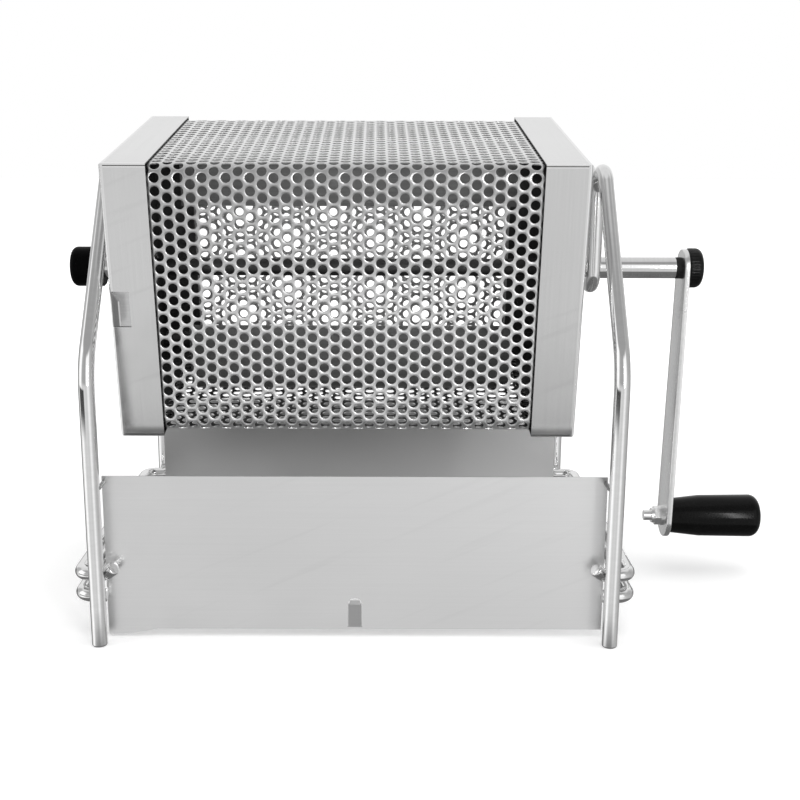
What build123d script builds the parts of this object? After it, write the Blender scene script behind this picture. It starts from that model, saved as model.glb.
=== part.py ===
from build123d import *
import math
import os

# Hand cranked coffee roaster for a gas ring: a square drum of perforated sheet
# turns in two bent wire side frames, over the flame between two wind shields.
# Millimetres. +X runs along the shaft towards the crank, +Y away from the user,
# +Z up. The origin is on the floor, under the middle of the overall box.

# ------------------------------------------------------------ driving sizes
wire_r = 4.0                # bent wire of the side frames
rail_r = 3.5                # thinner wire of the rails between the legs

frame_half = 132.0          # middle of the stand to the wire of each side frame
leg_half = 100.0            # shaft axis to the front and rear legs
shaft_height = 185.0        # floor to shaft axis
leg_straight = 146.6        # floor to the corner at the top of each upright leg
leg_bend_r = 40.0
shoulder_r = 14.0           # round shoulder beside the shaft cradle
shoulder_slope = 53.3       # degrees, rake of the wire from the leg bend to the shoulder
foot_chamfer = 1.0

rail_high_z = 36.0          # upper rail, whose ends show in front of the shield
rail_low_z = 24.5           # lower rail, whose ends stop behind the legs
rail_out = 10.8             # rails' long runs outside the side frame's middle line
rail_bend_r = 7.0
rail_hook_in = 3.0          # bend behind the leg, inside the side frame's middle line
rail_tip_in = 8.5           # tip of the upper rail, inside the side frame's middle line
rail_tip_rise = 5.0
rail_tip_out = 4.0
rail_low_in = 3.5           # end of the lower rail, inside the side frame's middle line

shield_sheet = 1.0
shield_in = 2.5             # end of each wind shield, inside the side frame's middle line
shield_low = 4.3
shield_high = 87.8
shield_corner_drop = 3.2    # the front shield's left corner curls a little lower
shield_corner_run = 26.0
lug_width = 7.0             # tongue pressed out of the foot of the shield
lug_height = 13.6
lug_foot = 1.2              # foot of the tongue above the shield's edge
lug_lean = 8.0              # degrees
lug_lip = 1.8               # end of the tongue, curled back towards the slot
lug_lip_width = 5.4
lug_curl = 43.0             # degrees
lug_gap = 0.25
slot_height = 12.6          # straight part of the slot round the tongue
stud_r = 1.1                # short stud between leg and shield
stud_drop = 3.0             # stud below the top edge of the shield

drum_side = 145.0           # outside of the square end caps
drum_gap = 3.2              # left end cap to the left side frame
drum_tilt = 9.6             # degrees that the drum leans towards the user
drum_shift = -4.3           # middle of the drum from the middle of the stand
cap_sheet = 0.8
cap_flange = 22.8           # width of a cap's folded flange
cap_bend_r = 1.2
cap_seam = 0.4              # open seam where two flanges meet
tab_height = 19.0           # finger tab cut out of the left cap's front flange
tab_width = 10.0
tab_middle = -2.0           # height of the tab's middle from the shaft axis
tab_taper = 3.0
tab_lean = 55.0             # degrees

sheet_inset = 1.0           # perforated sheet's face inside the cap's face
sheet = 0.8
sheet_bend_r = 8.0
opening_pitch = 24.5        # one opening stands for a dozen holes of 5 mm, 7 mm apart
opening_flats = 17.5
opening_rim = 3.5           # least plain sheet beside an opening

vane_reach = 35.0           # shaft axis to the free edge of each stirring vane
vane_sheet = 1.0
vane_foot = 8.0
vane_in = 4.7               # end of a vane, inside the cap's flange

shaft_r = 6.0
running_gap = 0.05          # radial clearance of whatever turns
thread_r = 4.0              # threaded ends of the shaft
thread_flats = 6.4          # across the flats that drive the crank arm
hub_r = 12.0
hub_length = 9.0
grub_r = 2.0
grub_length = 5.0

door_gap = 0.35             # door sheet outside the drum sheet
door_side_gap = 1.2         # door edge to cap flange
door_overlap = 4.0          # foot of the door past the flat of the drum's rear side
strip_width = 16.0          # plain strip of the drum's sheet above the door
door_lap = 3.5              # top of the door past the edge of the strip
door_lip = 7.0              # both legs of the angle strip along the foot of the door
door_lip_length = 44.0
hinge_pin_r = 0.8
knuckle_r = 1.75
knuckle_length = 10.0
knuckle_gap = 0.3
hinge_leaf = 9.0            # height of each hinge leaf
hinge_sheet = 0.8
hinge_stand = 0.3           # knuckles off the face of the strip
hinge_share = 0.6           # place of each hinge along the half length of the door
knuckle_neck = 1.2          # knuckles to the top of the door's sheet

button_r = 4.0              # round ends of the turn buttons
button_reach = 18.0         # pivot to the far end
button_sheet = 1.2
button_gap = 0.5            # button above the cap flange
button_edge = 6.5           # pivot from the free edge of the flange
button_z = -44.0
rivet_r = 1.5
rivet_head_r = 3.0
rivet_head = 1.2

washer_thick = 3.2
arm_thick = 3.0
arm_length = 150.0          # between the shaft and the bolt of the handle
arm_shaft_r = 10.6          # round end at the shaft
arm_handle_r = 12.5         # round end at the handle
arm_swing = 3.2             # degrees that the crank hangs past upright
shaft_left_reach = 11.0     # side frame's middle line to the shoulder for the left knob
shaft_right_reach = 48.0    # side frame's middle line to the shoulder for the crank

knob_r = 11.15
left_knob_length = 17.9
right_knob_length = 8.1
knob_round = 3.5
knob_bore_stop = 3.0        # end of the threaded bore to the knob's outer face

bolt_r = 3.0                # thread of the handle's shoulder bolt
bolt_tail = 4.4             # thread showing past the nut
nut_flats = 10.0
nut_thick = 3.6
nut_collar = 1.6            # round nylon collar of the lock nut
nut_collar_r = 4.4
nut_washer_r = 6.0
nut_washer_thick = 1.6
shoulder_bolt_r = 4.0
bolt_head_r = 6.5
bolt_head = 3.5
grip_gap = 0.4              # grip to crank arm
grip_length = 53.5
grip_neck_r = 10.2          # beside the arm
grip_belly_r = 12.2
grip_belly_x = 18.0         # from the arm to where the neck meets the barrel
grip_end_r = 12.6
grip_round = 5.5
grip_cap = 2.6              # plug in the end of the grip
grip_cap_r = 8.0
head_gap = 0.3              # room round the bolt's head

# ------------------------------------------------------------ places worked out
rail_x = frame_half + rail_out
rail_hook_x = frame_half - rail_hook_in
rail_tip_x = frame_half - rail_tip_in
rail_low_x = frame_half - rail_low_in
shield_half = frame_half - shield_in
stud_x = shield_half - stud_r
shaft_left = frame_half + shaft_left_reach
shaft_right = frame_half + shaft_right_reach
arm_inner = shaft_right + washer_thick
arm_outer = arm_inner + arm_thick
left_end = -(shaft_left + left_knob_length)
right_end = arm_outer + grip_gap + grip_length
stand_x = -(left_end + right_end) / 2
rail_y = leg_half - wire_r - rail_r
shield_y = rail_y - rail_r - shield_sheet / 2
drum_half = drum_side / 2
cap_outer = frame_half - wire_r - drum_gap + drum_shift
cap_inner = cap_outer - cap_sheet
flange_edge = cap_outer - cap_flange
sheet_out = drum_half - sheet_inset
sheet_in = sheet_out - sheet
flat_half = sheet_out - sheet_bend_r
door_in = sheet_out + door_gap
door_out = door_in + sheet
door_half = flange_edge - door_side_gap
strip_foot = flat_half - strip_width
door_top = strip_foot + door_lap
hinge_y = sheet_out + hinge_stand + knuckle_r
hinge_z = door_top + knuckle_neck + knuckle_r
hinge_x = hinge_share * door_half
knuckle_bore = hinge_pin_r + running_gap
door_foot = -(flat_half + door_overlap)
vane_length = 2 * (flange_edge - vane_in)
arm_pivot_y = arm_length * math.sin(math.radians(arm_swing))
arm_pivot_z = shaft_height - arm_length * math.cos(math.radians(arm_swing))

parts = {}


# ------------------------------------------------------------ shared helpers
def on_stand(shape):
    """From the middle of the stand, on the floor, to the part's frame."""
    return Pos(stand_x, 0, 0) * shape


def on_shaft(shape):
    """From a point on the shaft axis, in the middle of the stand."""
    return Pos(stand_x, 0, shaft_height) * shape


def in_drum(shape):
    """From the drum's own square axes, at its middle."""
    return Pos(stand_x + drum_shift, 0, shaft_height) * Rot(drum_tilt, 0, 0) * shape


def on_handle(shape):
    """From the handle's axis, in the middle of the stand."""
    return Pos(stand_x, arm_pivot_y, arm_pivot_z) * shape


def block(x, y, z):
    """A box between two X, two Y and two Z values."""
    size = Box(x[1] - x[0], y[1] - y[0], z[1] - z[0])
    return Pos((x[0] + x[1]) / 2, (y[0] + y[1]) / 2, (z[0] + z[1]) / 2) * size


def rod(radius, start, end):
    """A round bar along X between two X values."""
    bar = Cylinder(radius, end - start)
    return Pos((start + end) / 2, 0, 0) * Rot(0, 90, 0) * bar


def wire(path, radius):
    """Round wire swept along a smooth path."""
    start = Plane(origin=path @ 0, z_dir=path % 0)
    return sweep(start * Circle(radius), path=path)


def turned(points):
    """A turned piece on the X axis, from (x, radius) points."""
    face = make_face(Polyline(*[(x, r, 0) for x, r in points], close=True))
    return revolve(face, Axis.X, 360)


# ------------------------------------------------------------ stand
def side_frame():
    """One length of wire: leg, shoulder, cradle for the shaft, and back down."""
    cradle_r = shaft_r + running_gap + wire_r
    rise = (leg_half - cradle_r) * math.tan(math.radians(shoulder_slope))
    half = FilletPolyline(
        (-leg_half, 0),
        (-leg_half, leg_straight),
        (-cradle_r, leg_straight + rise),
        (-cradle_r, shaft_height),
        radius=[leg_bend_r, shoulder_r],
    )
    cradle = CenterArc((0, shaft_height), cradle_r, 180, 180)
    outline = Wire(half.edges() + cradle.edges() + mirror(half, Plane.YZ).edges())
    bent = wire(Plane.YZ * outline, wire_r)
    feet = bent.faces().filter_by(Axis.Z).edges()
    return chamfer(feet, foot_chamfer)


def upper_rail():
    """Right hand rail with both tips hooked in front of the legs' gap."""
    tip = (rail_tip_x, -(rail_y + rail_tip_out), rail_tip_rise)
    far_tip = (rail_tip_x, rail_y + rail_tip_out, rail_tip_rise)
    path = FilletPolyline(
        tip,
        (rail_hook_x, -rail_y, 0),
        (rail_x, -rail_y, 0),
        (rail_x, rail_y, 0),
        (rail_hook_x, rail_y, 0),
        far_tip,
        radius=[rail_bend_r, rail_bend_r, rail_bend_r, rail_bend_r],
    )
    return Pos(0, 0, rail_high_z) * wire(path, rail_r)


def lower_rail():
    """Right hand rail that ends behind the legs."""
    path = FilletPolyline(
        (rail_low_x, -rail_y),
        (rail_x, -rail_y),
        (rail_x, rail_y),
        (rail_low_x, rail_y),
        radius=rail_bend_r,
    )
    return Pos(0, 0, rail_low_z) * wire(path, rail_r)


def shield(corner_drop):
    """Flat wind shield with a tongue pressed out of its foot."""
    run_end = -shield_half + shield_corner_run
    curl = Bezier(
        (run_end, shield_low),
        (-shield_half + shield_corner_run / 2, shield_low - corner_drop),
        (-shield_half, shield_low - corner_drop),
    )
    straight = Polyline(
        curl @ 1,
        (-shield_half, shield_high),
        (shield_half, shield_high),
        (shield_half, shield_low),
        curl @ 0,
    )
    sheet_face = make_face([curl, straight])
    slot_low = shield_low + lug_foot
    slot_half = lug_width / 2 + lug_gap
    slot = Pos(0, slot_low + slot_height / 2) * Rectangle(2 * slot_half, slot_height)
    arch = Pos(0, slot_low + slot_height) * Circle(slot_half)
    plate = extrude(Plane.XZ * (sheet_face - slot - arch), shield_sheet / 2, both=True)
    half = lug_width / 2
    thick = shield_sheet / 2
    blade = block((-half, half), (-thick, thick), (-lug_foot / 3, lug_height))
    lip = block((-lug_lip_width / 2, lug_lip_width / 2), (-thick, thick), (-thick, lug_lip))
    blade += Pos(0, 0, lug_height) * Rot(-lug_curl, 0, 0) * lip
    return plate + Pos(0, 0, slot_low) * Rot(lug_lean, 0, 0) * blade


def shield_stud():
    """Stud that holds a shield's top corner off the front right leg."""
    length = leg_half - shield_y - shield_sheet / 2
    middle = (leg_half + shield_y + shield_sheet / 2) / 2
    bar = Pos(stud_x, -middle, shield_high - stud_drop) * Rot(90, 0, 0) * Cylinder(stud_r, length)
    leg = Pos(frame_half, -leg_half, shield_high) * Cylinder(wire_r, 4 * stud_drop)
    return bar - leg


def make_stand():
    frame = side_frame()
    high = upper_rail()
    low = lower_rail()
    for name, side in (("left", -1), ("right", 1)):
        parts[name + "_frame"] = on_stand(Pos(side * frame_half, 0, 0) * frame)
        parts[name + "_upper_rail"] = on_stand(high if side > 0 else mirror(high, Plane.YZ))
        parts[name + "_lower_rail"] = on_stand(low if side > 0 else mirror(low, Plane.YZ))
    parts["front_shield"] = on_stand(Pos(0, -shield_y, 0) * shield(shield_corner_drop))
    parts["rear_shield"] = on_stand(Pos(0, shield_y, 0) * Rot(0, 0, 180) * shield(0))
    stud = shield_stud()
    front = [stud, mirror(stud, Plane.YZ)]
    rear = [mirror(each, Plane.XZ) for each in front]
    parts["shield_studs"] = on_stand(Compound(children=front + rear))


# ------------------------------------------------------------ drum
def end_cap():
    """Right hand cap: a square tray folded from sheet, with open corner seams."""
    tray = block((flange_edge, cap_outer), (-drum_half, drum_half), (-drum_half, drum_half))
    fold = tray.faces().sort_by(Axis.X)[-1].edges()
    tray = fillet(fold, cap_bend_r)
    inner = drum_half - cap_sheet
    tray -= block((flange_edge - 1, cap_inner), (-inner, inner), (-inner, inner))
    for y in (-1, 1):
        for z in (-1, 1):
            corner = Pos(0, y * (drum_half - cap_sheet / 2), z * (drum_half - cap_sheet - cap_seam / 2))
            slit = Box(2 * (cap_flange - cap_sheet - cap_bend_r), 4 * cap_sheet, cap_seam)
            tray -= Pos(flange_edge, 0, 0) * corner * slit
    return tray - rod(shaft_r, cap_inner - 1, cap_outer + 1)


def tab_window():
    """Window that the finger tab leaves in the left cap's front flange."""
    x = (-cap_outer + cap_bend_r, -cap_outer + tab_width)
    z = (tab_middle - tab_height / 2, tab_middle + tab_height / 2)
    return block(x, (-drum_half - 1, -drum_half + cap_sheet), z)


def finger_tab():
    """Tab bent forwards about the left cap's outer edge."""
    length = tab_width - cap_bend_r
    half = tab_height / 2
    outline = Polyline(
        (0, -half),
        (0, half),
        (length, half - tab_taper),
        (length, -half + tab_taper),
        close=True,
    )
    flap = extrude(Plane.XZ * make_face(outline), cap_sheet)
    hinge = Pos(-cap_outer + cap_bend_r, -drum_half + cap_sheet, tab_middle)
    return hinge * Rot(0, 0, -tab_lean) * flap


def perforated(length, low, high, wide):
    """Sheet face in X and Y, holed with staggered six sided openings."""
    height = high - low
    middle = (low + high) / 2
    column_step = opening_pitch * math.sqrt(3) / 2
    reach = opening_flats / math.sqrt(3) + opening_rim
    columns = int((2 * wide - 2 * reach) / column_step) + 1
    face = Pos(0, middle) * Rectangle(length, height)
    holes = []
    for column in range(columns):
        x = (column - (columns - 1) / 2) * column_step
        spare = opening_flats + 2 * opening_rim + (column % 2) * opening_pitch
        rows = int((height - spare) / opening_pitch) + 1
        for row in range(rows):
            y = middle + (row - (rows - 1) / 2) * opening_pitch
            opening = RegularPolygon(opening_flats / math.sqrt(3), 6)
            holes.append(Pos(x, y) * opening)
    return face - holes


def flat_side():
    """Flat stretch of the drum's sheet, its outer face on the drum's front."""
    face = perforated(2 * cap_inner, -flat_half, flat_half, flange_edge)
    flat = extrude(Plane.XZ * face, sheet)
    return Pos(0, -sheet_in, 0) * flat


def rounded_edge():
    """Rounded edge of the sheet between the front and the top."""
    centre = Pos(0, -flat_half, flat_half)
    ring = rod(sheet_bend_r, -cap_inner, cap_inner) - rod(sheet_bend_r - sheet, -cap_outer, cap_outer)
    corner = block((-cap_outer, cap_outer), (-sheet_bend_r, 0), (0, sheet_bend_r))
    return centre * (ring & corner)


def stirring_vane():
    """Angle strip that lifts the beans, standing on the drum's lower side."""
    half = vane_length / 2
    thick = vane_sheet / 2
    blade = block((-half, half), (-thick, thick), (-sheet_in, -vane_reach))
    foot = block((-half, half), (-vane_foot, thick), (-sheet_in, -sheet_in + vane_sheet))
    return blade + foot


def hub():
    """Collar on the shaft inside the right cap, with a hole for its grub screw."""
    collar = rod(hub_r, cap_inner - hub_length, cap_inner)
    collar -= rod(shaft_r, cap_inner - hub_length - 1, cap_inner + 1)
    return collar - hub_grub(hub_r + 1)


def hub_grub(top):
    """Grub screw, or its hole, from the shaft's surface outwards."""
    length = top - shaft_r
    x = cap_inner - hub_length / 2
    return Pos(x, 0, shaft_r + length / 2) * Cylinder(grub_r, length)


def make_drum():
    cap = end_cap()
    left_cap = mirror(cap, Plane.YZ) - tab_window()
    parts["left_cap"] = in_drum(left_cap + finger_tab())
    parts["right_cap"] = in_drum(cap)
    side = flat_side()
    edge = rounded_edge()
    parts["front_sheet"] = in_drum(side)
    parts["top_sheet"] = in_drum(Rot(-90, 0, 0) * side)
    parts["bottom_sheet"] = in_drum(Rot(90, 0, 0) * side)
    for name, turn in (("front_top", 0), ("front_bottom", 90), ("rear_bottom", 180), ("rear_top", -90)):
        parts[name + "_edge"] = in_drum(Rot(turn, 0, 0) * edge)
    strip = block((-cap_inner, cap_inner), (sheet_in, sheet_out), (strip_foot, flat_half))
    parts["rear_top_edge"] += in_drum(strip)
    vane = stirring_vane()
    parts["lower_vane"] = in_drum(vane)
    parts["upper_vane"] = in_drum(Rot(180, 0, 0) * vane)
    collar = hub()
    grub = hub_grub(shaft_r + grub_length)
    parts["right_hub"] = in_drum(collar)
    parts["left_hub"] = in_drum(mirror(collar, Plane.YZ))
    parts["hub_screws"] = in_drum(Compound(children=[grub, mirror(grub, Plane.YZ)]))


# ------------------------------------------------------------ door
def knuckle(start, end, bore):
    """One hinge knuckle along the hinge axis."""
    barrel = rod(knuckle_r, start, end) - rod(bore, start - 1, end + 1)
    return Pos(0, hinge_y, hinge_z) * barrel


def fixed_hinge(x):
    """Two knuckles on a leaf that is fixed on the strip above the door."""
    inner = knuckle_length / 2 + knuckle_gap
    outer = inner + knuckle_length
    leaf_face = (sheet_out, sheet_out + hinge_sheet)
    leaf = block((-outer, outer), leaf_face, (hinge_z, hinge_z + hinge_leaf))
    room = hinge_z + knuckle_r + knuckle_gap
    leaf -= block((-inner, inner), (leaf_face[0] - 1, hinge_y), (hinge_z - 1, room))
    pair = leaf + knuckle(-outer, -inner, hinge_pin_r) + knuckle(inner, outer, hinge_pin_r)
    return Pos(x, 0, 0) * pair


def hinge_pin(x):
    reach = 1.5 * knuckle_length + knuckle_gap
    return Pos(x, hinge_y, hinge_z) * rod(hinge_pin_r, -reach, reach)


def door_panel():
    """Flat perforated door."""
    face = perforated(2 * door_half, door_foot, door_top, door_half)
    return Pos(0, door_out, 0) * extrude(Plane.XZ * face, sheet)


def moving_hinge(x):
    """One knuckle on a leaf that is fixed on the door's outer face."""
    half = knuckle_length / 2
    face = (door_out, door_out + hinge_sheet)
    leaf = block((-half, half), face, (door_top - hinge_leaf, hinge_z))
    leaf -= Pos(0, hinge_y, hinge_z) * rod(knuckle_bore, -half - 1, half + 1)
    return Pos(x, 0, 0) * (leaf + knuckle(-half, half, knuckle_bore))


def door_pull():
    """Angle strip along the foot of the door, to pull it by."""
    half = door_lip_length / 2
    foot = block((-half, half), (door_out, door_out + sheet), (door_foot, door_foot + door_lip))
    return foot + block((-half, half), (door_out, door_out + door_lip), (door_foot, door_foot + sheet))


def turn_button():
    """Right hand turn button, hanging clear of the door."""
    pivot_y = drum_half + button_gap
    far = button_reach - button_r
    outline = Pos(0, -far / 2) * SlotCenterToCenter(far, 2 * button_r, rotation=90)
    plate = extrude(Plane.XZ * (outline - Circle(rivet_r + running_gap)), button_sheet)
    return Pos(flange_edge + button_edge, pivot_y + button_sheet, button_z) * plate


def button_rivet():
    """Shouldered rivet that carries the right hand turn button."""
    flange_in = drum_half - cap_sheet
    button_in = drum_half + button_gap
    button_out = button_in + button_sheet
    pin = rod(rivet_r, flange_in, button_out + running_gap)
    shoulder = rod(rivet_head_r - rivet_r / 2, drum_half, button_in)
    head = rod(rivet_head_r, button_out + running_gap, button_out + running_gap + rivet_head)
    return Pos(flange_edge + button_edge, 0, button_z) * Rot(0, 0, 90) * (pin + shoulder + head)


def make_door():
    parts["drum_hinges"] = in_drum(Compound(children=[fixed_hinge(-hinge_x), fixed_hinge(hinge_x)]))
    parts["hinge_pins"] = in_drum(Compound(children=[hinge_pin(-hinge_x), hinge_pin(hinge_x)]))
    parts["door"] = in_drum(door_panel())
    leaves = [moving_hinge(-hinge_x), moving_hinge(hinge_x)]
    parts["door_hinge_leaves"] = in_drum(Compound(children=leaves))
    parts["door_pull"] = in_drum(door_pull())
    button = turn_button()
    rivet = button_rivet()
    parts["right_turn_button"] = in_drum(button)
    parts["left_turn_button"] = in_drum(mirror(button, Plane.YZ))
    parts["button_rivets"] = in_drum(Compound(children=[rivet, mirror(rivet, Plane.YZ)]))


def drill_flange(name, side):
    """Hole for the turn button's rivet in a cap's rear flange."""
    hole = Rot(0, 0, 90) * rod(rivet_r, 0, 2 * drum_half)
    parts[name] -= in_drum(Pos(side * (flange_edge + button_edge), 0, button_z) * hole)


# ------------------------------------------------------------ shaft and crank
def flatted(radius, start, end):
    """Threaded end with two flats that drive the crank arm."""
    keep = block((start, end), (-radius, radius), (-thread_flats / 2, thread_flats / 2))
    return rod(radius, start, end) & keep


def drive_shaft():
    left_tip = -(shaft_left + left_knob_length - knob_bore_stop)
    right_tip = arm_outer + right_knob_length - knob_bore_stop
    shaft = rod(shaft_r, -shaft_left, shaft_right)
    shaft += rod(thread_r, left_tip, -shaft_left)
    shaft += rod(thread_r, shaft_right, arm_inner)
    shaft += flatted(thread_r, arm_inner, arm_outer)
    return shaft + rod(thread_r, arm_outer, right_tip)


def knob(length):
    """Round knob with its bore open towards -X and its far edge rounded."""
    body = rod(knob_r, 0, length)
    body = fillet(body.edges().sort_by(Axis.X)[-1], knob_round)
    body = chamfer(body.edges().sort_by(Axis.X)[0], knob_round / 5)
    return body - rod(thread_r, -1, length - knob_bore_stop)


def crank_arm():
    """Flat bar, wider at the handle, with round ends."""
    ends = Circle(arm_shaft_r).edges() + (Pos(0, -arm_length) * Circle(arm_handle_r)).edges()
    bar = extrude(Plane.YZ * make_hull(ends), arm_thick)
    bar = Pos(arm_inner, 0, 0) * bar
    bar -= flatted(thread_r, arm_inner - 1, arm_outer + 1)
    bar -= Pos(0, 0, -arm_length) * rod(bolt_r, arm_inner - 1, arm_outer + 1)
    return Rot(arm_swing, 0, 0) * bar


def handle_bolt():
    head = arm_outer + grip_gap + grip_length - grip_cap - head_gap
    nut_side = arm_inner - nut_washer_thick - nut_thick - nut_collar
    thread = rod(bolt_r, nut_side - bolt_tail, arm_outer)
    return thread + rod(shoulder_bolt_r, arm_outer, head) + rod(bolt_head_r, head - bolt_head, head)


def lock_nut():
    """Hexagon nut with its round nylon collar."""
    seat = arm_inner - nut_washer_thick
    hexagon = RegularPolygon(nut_flats / 2, 6, major_radius=False)
    body = Pos(seat, 0, 0) * extrude(Plane.YZ * hexagon, -nut_thick)
    body += rod(nut_collar_r, seat - nut_thick - nut_collar, seat - nut_thick)
    return body - rod(bolt_r, seat - nut_thick - nut_collar - 1, seat + 1)


def grip():
    """Barrel grip, bored for the shoulder bolt and its head."""
    start = arm_outer + grip_gap
    end = start + grip_length
    body = turned([
        (start, 0),
        (start, grip_neck_r),
        (start + grip_belly_x, grip_belly_r),
        (end, grip_end_r),
        (end, 0),
    ])
    rim = body.edges().filter_by(GeomType.CIRCLE).sort_by(Axis.X)[-1]
    body = fillet(rim, grip_round)
    body -= rod(shoulder_bolt_r + running_gap, start - 1, end)
    head_room = end - grip_cap - bolt_head - 2 * head_gap
    body -= rod(bolt_head_r + head_gap, head_room, end)
    return body - rod(grip_cap_r, end - grip_cap, end + 1)


def grip_end_cap():
    """Plug that closes the end of the grip."""
    end = arm_outer + grip_gap + grip_length
    plug = rod(grip_cap_r, end - grip_cap, end)
    return chamfer(plug.edges().sort_by(Axis.X)[-1], grip_cap / 4)


def make_crank():
    parts["shaft"] = on_shaft(Rot(arm_swing, 0, 0) * drive_shaft())
    washer = rod(shaft_r, shaft_right, arm_inner) - rod(thread_r, shaft_right - 1, arm_inner + 1)
    parts["crank_washer"] = on_shaft(washer)
    parts["crank_arm"] = on_shaft(crank_arm())
    parts["right_knob"] = on_shaft(Pos(arm_outer, 0, 0) * knob(right_knob_length))
    left = mirror(knob(left_knob_length), Plane.YZ)
    parts["left_knob"] = on_shaft(Pos(-shaft_left, 0, 0) * left)
    parts["handle_bolt"] = on_handle(handle_bolt())
    small_washer = rod(nut_washer_r, arm_inner - nut_washer_thick, arm_inner)
    small_washer -= rod(bolt_r, arm_inner - nut_washer_thick - 1, arm_inner + 1)
    parts["handle_washer"] = on_handle(small_washer)
    parts["handle_nut"] = on_handle(lock_nut())
    parts["handle_grip"] = on_handle(grip())
    parts["grip_cap"] = on_handle(grip_end_cap())


# ------------------------------------------------------------ build and write
make_stand()
make_drum()
make_door()
make_crank()
drill_flange("right_cap", 1)
drill_flange("left_cap", -1)

os.makedirs("parts", exist_ok=True)
for node, shape in parts.items():
    shape.label = node
    export_step(shape, "parts/" + node + ".step")

print("nodes", len(parts))
print("stand middle x", round(stand_x, 3), "ends", round(stand_x + left_end, 2), round(stand_x + right_end, 2))
print("hinge axis in drum y z", round(hinge_y, 3), round(hinge_z, 3))
print("handle axis y z", round(arm_pivot_y, 3), round(arm_pivot_z, 3))
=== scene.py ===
# %% [markdown]
# # Dressing a stovetop coffee roaster
# The CAD model of the roaster comes in as a fixed frame that never moves. Each
# piece that shows most is then built again in mesh code, and the rest get a
# better finish. Every piece rides on the CAD body that carries it, so it turns
# when that body turns.

# %% Load the frame
import math
import bpy
import bmesh
import numpy as np
from mathutils import Matrix, Vector


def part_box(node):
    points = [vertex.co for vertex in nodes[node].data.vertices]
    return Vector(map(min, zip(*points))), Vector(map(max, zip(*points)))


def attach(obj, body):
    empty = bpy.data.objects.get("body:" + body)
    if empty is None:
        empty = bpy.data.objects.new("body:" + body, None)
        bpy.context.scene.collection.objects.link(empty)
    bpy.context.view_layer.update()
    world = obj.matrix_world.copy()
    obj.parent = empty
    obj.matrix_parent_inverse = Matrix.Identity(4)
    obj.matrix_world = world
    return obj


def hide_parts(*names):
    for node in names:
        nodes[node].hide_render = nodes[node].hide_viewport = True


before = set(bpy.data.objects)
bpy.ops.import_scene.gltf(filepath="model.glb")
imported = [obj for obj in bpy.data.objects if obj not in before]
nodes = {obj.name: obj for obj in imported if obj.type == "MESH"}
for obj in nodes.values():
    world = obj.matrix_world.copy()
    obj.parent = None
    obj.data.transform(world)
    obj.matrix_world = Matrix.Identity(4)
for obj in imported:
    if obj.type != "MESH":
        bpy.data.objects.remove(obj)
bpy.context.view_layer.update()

# %% [markdown]
# ## Sizes that the pieces share
# Blender works in metres, so a size in millimetres is multiplied by MM. The
# middle of the stand is read from the shield, and the shaft lies above it. The
# drum leans a little towards the cook, so it gets a matrix of its own. A piece
# can then be built at the origin, in plain numbers, and put in place at the end.

# %% Middle of the stand, the shaft, the handle and the drum
MM = 0.001
shield_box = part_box("front_shield")
stand_x = (shield_box[0].x + shield_box[1].x) / 2 / MM
shaft_z = 185.0
drum_lean = math.radians(9.6)
drum_x = stand_x - 4.3
arm_lean = math.radians(3.2)
arm_length = 150.0
grip_y = arm_length * math.sin(arm_lean)
grip_z = shaft_z - arm_length * math.cos(arm_lean)


def place(x, y, z):
    """A matrix that moves by millimetres."""
    return Matrix.Translation(Vector((x, y, z)) * MM)


on_stand = place(stand_x, 0, 0)
on_shaft = place(stand_x, 0, shaft_z)
on_handle = place(stand_x, grip_y, grip_z)
in_drum = place(drum_x, 0, shaft_z) @ Matrix.Rotation(drum_lean, 4, "X")
print("stand middle", round(stand_x, 2), "handle axis", round(grip_y, 2), round(grip_z, 2))

# %% [markdown]
# ## Effects that several finishes share
# Stainless sheet is never one even grey. Rolling leaves a fine grain along it,
# handling leaves a cloudy haze, wiping leaves hairlines, and no thin sheet is
# quite flat. Painted shade darkens the inside of the drum, a line beside its caps
# and its upper part, and a painted highlight lightens its folded edges.
# Each effect is a node group with named sockets. It is built once, and each
# material then uses it with its own numbers.


# %% Helpers that start a node group and fill it
def new_group(name, inputs, outputs):
    """A shader node group with vector or float inputs and float outputs."""
    group = bpy.data.node_groups.new(name, "ShaderNodeTree")
    for label, value in inputs:
        kind = "NodeSocketVector" if value is None else "NodeSocketFloat"
        socket = group.interface.new_socket(label, in_out="INPUT", socket_type=kind)
        if value is not None:
            socket.default_value = value
    for label in outputs:
        group.interface.new_socket(label, in_out="OUTPUT", socket_type="NodeSocketFloat")
    return group, group.nodes.new("NodeGroupInput"), group.nodes.new("NodeGroupOutput")


def add_node(tree, kind, **settings):
    """A node with its own settings, and plain values in its sockets."""
    node = tree.nodes.new(kind)
    for key, value in settings.items():
        if hasattr(node, key):
            setattr(node, key, value)
        else:
            node.inputs[key.replace("_", " ")].default_value = value
    return node


def calculate(tree, operation, *values):
    """A Math node. Each value is a number or another node's output."""
    node = add_node(tree, "ShaderNodeMath", operation=operation)
    for socket, value in zip(node.inputs, values):
        if isinstance(value, (int, float)):
            socket.default_value = value
        else:
            tree.links.new(value, socket)
    return node.outputs[0]


def smooth_step(tree, value, start, end):
    """0 at start, 1 at end, level beyond them and a soft rise between them."""
    step = add_node(
        tree, "ShaderNodeMapRange", interpolation_type="SMOOTHSTEP", From_Min=start, From_Max=end)
    tree.links.new(value, step.inputs["Value"])
    return step.outputs[0]


def spread_noise(group, start, end, noise, **limits):
    """Gives out a noise as it is in Height, and spread from Low to High in Value."""
    spread = add_node(group, "ShaderNodeMapRange", **limits)
    link = group.links.new
    link(noise.outputs["Fac"], spread.inputs["Value"])
    link(start.outputs["Low"], spread.inputs["To Min"])
    link(start.outputs["High"], spread.inputs["To Max"])
    link(spread.outputs[0], end.inputs["Value"])
    link(noise.outputs["Fac"], end.inputs["Height"])


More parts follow.
